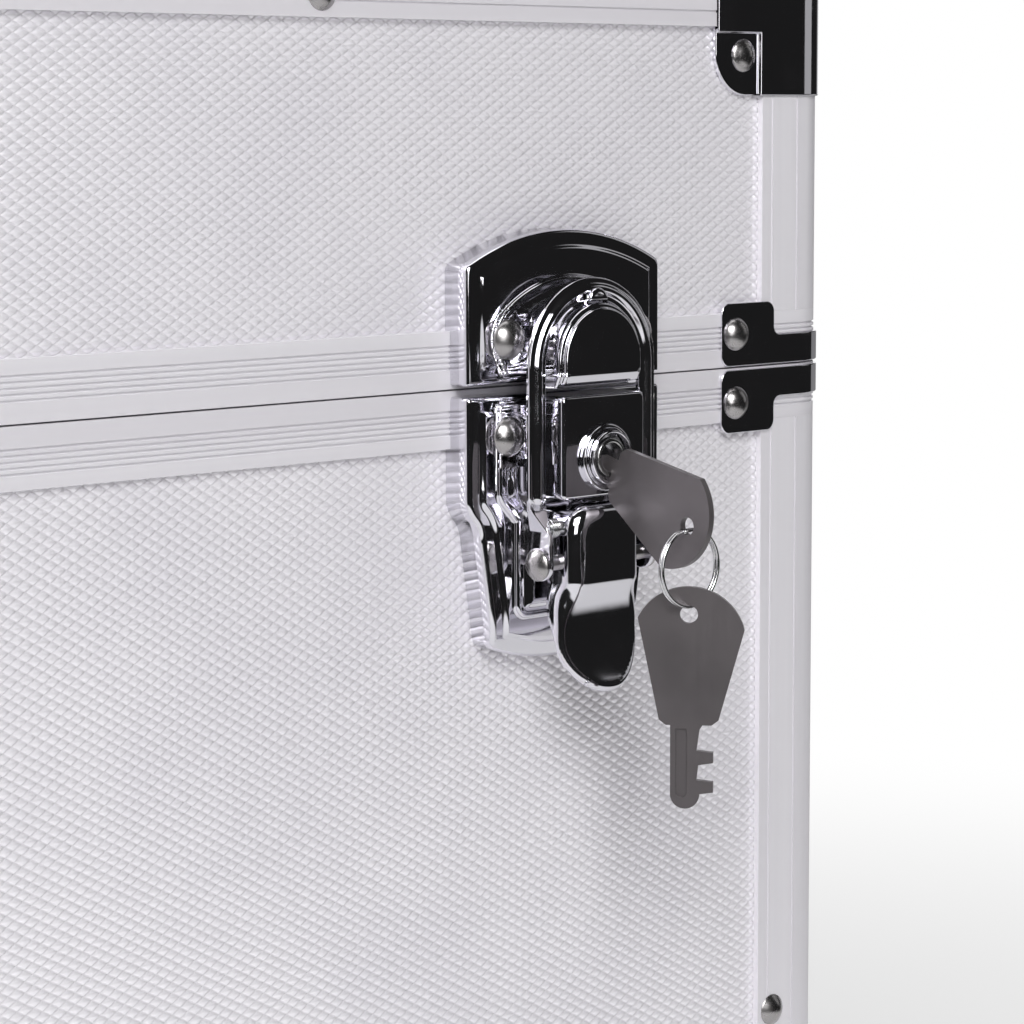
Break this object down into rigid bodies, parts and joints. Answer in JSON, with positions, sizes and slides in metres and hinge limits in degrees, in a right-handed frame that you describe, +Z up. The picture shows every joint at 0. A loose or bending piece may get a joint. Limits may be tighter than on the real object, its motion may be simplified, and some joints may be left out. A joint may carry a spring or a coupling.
{
  "type": "record carrying case",
  "caption": "Upright hard case for records: embossed aluminium panels, rounded metal edges, corner caps, hinged lid, draw latches with locks, folding handle and hanging keys.",
  "frame": {"origin": "centre of the whole object's box at the level of the undersides of the feet", "axes": "+X to the case's right as seen from the latches, +Y from the latches to the hinges, +Z up"},
  "size_m": [0.366, 0.2788, 0.3796],
  "materials": {
    "embossed_sheet": "diamond embossed, satin",
    "edge_profile": "satin anodised",
    "closure_band": "satin anodised, ribbed",
    "chrome_steel": "bright plated",
    "rivet_steel": "bright",
    "steel": "plated",
    "lock_metal": "satin plated",
    "key_nickel": "satin nickel",
    "foam": "matte",
    "rubber": "matte",
    "grip_plastic": "matte"
  },
  "bodies": {
    "base": {"base_front_panel": "embossed_sheet", "base_right_panel": "embossed_sheet", "base_back_panel": "embossed_sheet", "base_left_panel": "embossed_sheet", "base_floor_panel": "embossed_sheet", "base_upright_profiles": "edge_profile", "base_bottom_profiles": "edge_profile", "base_closure_band": "closure_band", "base_corner_caps": "chrome_steel", "base_braces": "chrome_steel", "base_rivets": "rivet_steel", "base_lining": "foam", "feet": "rubber", "foot_screws": "steel", "hinge_base_leaves": "steel", "hinge_pins": "steel", "latch_plate_right": "chrome_steel", "latch_plate_left": "chrome_steel", "pivot_pin_right": "steel", "pivot_pin_left": "steel", "spring_right": "steel", "spring_left": "steel", "latch_rivets_base": "rivet_steel"},
    "lid": {"lid_top_panel": "embossed_sheet", "lid_front_panel": "embossed_sheet", "lid_right_panel": "embossed_sheet", "lid_back_panel": "embossed_sheet", "lid_left_panel": "embossed_sheet", "lid_upright_profiles": "edge_profile", "lid_top_profiles": "edge_profile", "lid_closure_band": "closure_band", "lid_corner_caps": "chrome_steel", "lid_braces": "chrome_steel", "lid_rivets": "rivet_steel", "lid_lining": "foam", "hinge_lid_leaves": "steel", "handle_brackets": "chrome_steel", "catch_plate_right": "chrome_steel", "catch_plate_left": "chrome_steel", "latch_rivets_lid": "rivet_steel"},
    "handle": {"handle_bail": "steel", "handle_grip": "grip_plastic"},
    "lever_right": {"lever_right": "chrome_steel", "loop_rivets_right": "rivet_steel"},
    "loop_right": {"loop_right": "chrome_steel"},
    "lever_left": {"lever_left": "chrome_steel", "loop_rivets_left": "rivet_steel"},
    "loop_left": {"loop_left": "chrome_steel"},
    "lock_right": {"lock_plug_right": "lock_metal", "lock_cam_right": "lock_metal", "key": "key_nickel"},
    "lock_left": {"lock_plug_left": "lock_metal", "lock_cam_left": "lock_metal"},
    "split_ring": {"split_ring": "steel"},
    "spare_key": {"spare_key": "key_nickel"}
  },
  "joints": [
    {"name": "lid_hinge", "type": "hinge", "parent": "base", "child": "lid", "pos_m": [0, 0.13627, 0.27615], "axis": [-1, 0, 0], "range_deg": [0, 95]},
    {"name": "handle_pivot", "type": "hinge", "parent": "lid", "child": "handle", "pos_m": [0, 0.01747, 0.3701], "axis": [-1, 0, 0], "range_deg": [0, 180]},
    {"name": "lever_right_pivot", "type": "hinge", "parent": "base", "child": "lever_right", "pos_m": [0.1027, -0.10943, 0.2523], "axis": [-1, 0, 0], "range_deg": [0, 28]},
    {"name": "loop_right_pivot", "type": "hinge", "parent": "lever_right", "child": "loop_right", "pos_m": [0.1027, -0.10843, 0.246], "axis": [-1, 0, 0], "range_deg": [-38, 0]},
    {"name": "lever_left_pivot", "type": "hinge", "parent": "base", "child": "lever_left", "pos_m": [-0.1027, -0.10943, 0.2523], "axis": [-1, 0, 0], "range_deg": [0, 110]},
    {"name": "loop_left_pivot", "type": "hinge", "parent": "lever_left", "child": "loop_left", "pos_m": [-0.1027, -0.10843, 0.246], "axis": [-1, 0, 0], "range_deg": [-144, 0]},
    {"name": "lock_right_turn", "type": "hinge", "parent": "base", "child": "lock_right", "pos_m": [0.1027, -0.11253, 0.264], "axis": [0, -1, 0], "range_deg": [0, 90]},
    {"name": "lock_left_turn", "type": "hinge", "parent": "base", "child": "lock_left", "pos_m": [-0.1027, -0.11253, 0.264], "axis": [0, -1, 0], "range_deg": [0, 90]},
    {"name": "ring_swing", "type": "hinge", "parent": "lock_right", "child": "split_ring", "pos_m": [0.1027, -0.13205, 0.25326], "axis": [-1, 0, 0], "range_deg": [-8, 40]},
    {"name": "spare_key_swing", "type": "hinge", "parent": "split_ring", "child": "spare_key", "pos_m": [0.1027, -0.13205, 0.24006], "axis": [-0.766, -0.6428, 0], "range_deg": [-20, 20]}
  ],
  "couplings": [
    {"joint": "loop_right_pivot", "follows": "lever_right_pivot", "ratio": -1.3},
    {"joint": "loop_left_pivot", "follows": "lever_left_pivot", "ratio": -1.3}
  ]
}
